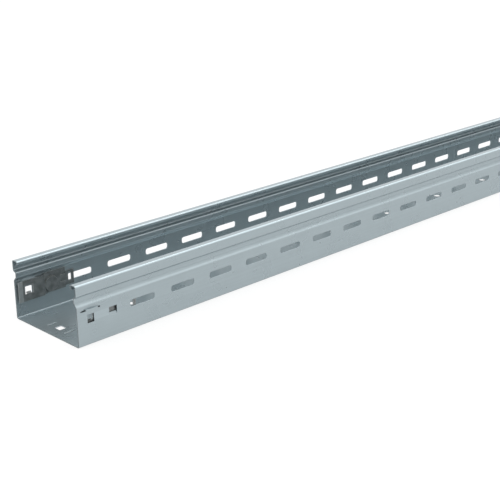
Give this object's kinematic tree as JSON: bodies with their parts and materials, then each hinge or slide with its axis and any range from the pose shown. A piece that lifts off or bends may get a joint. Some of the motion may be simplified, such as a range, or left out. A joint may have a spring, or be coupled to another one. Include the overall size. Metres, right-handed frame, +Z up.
{
  "type": "perforated cable tray",
  "caption": "Straight U-shaped perforated steel cable tray with slotted side walls, a bead and a rolled rim on each wall, and a spring steel connector plate inside each wall at one end.",
  "frame": {"origin": "middle of the tray's length and width, on the underside of the base", "axes": "+X along the tray, away from the end with the connector plates; +Z up, out of the open side; +Y towards the left wall"},
  "size_m": [3.05, 0.1, 0.06],
  "materials": {
    "galvanised_sheet": "bright pre-galvanised steel sheet, satin, faint lengthwise rolling lines",
    "spring_steel": "dark grey, matt coated spring steel"
  },
  "bodies": {
    "root": {"tray_channel": "galvanised_sheet", "connector_plate_left": "spring_steel", "connector_plate_right": "spring_steel"}
  },
  "joints": []
}
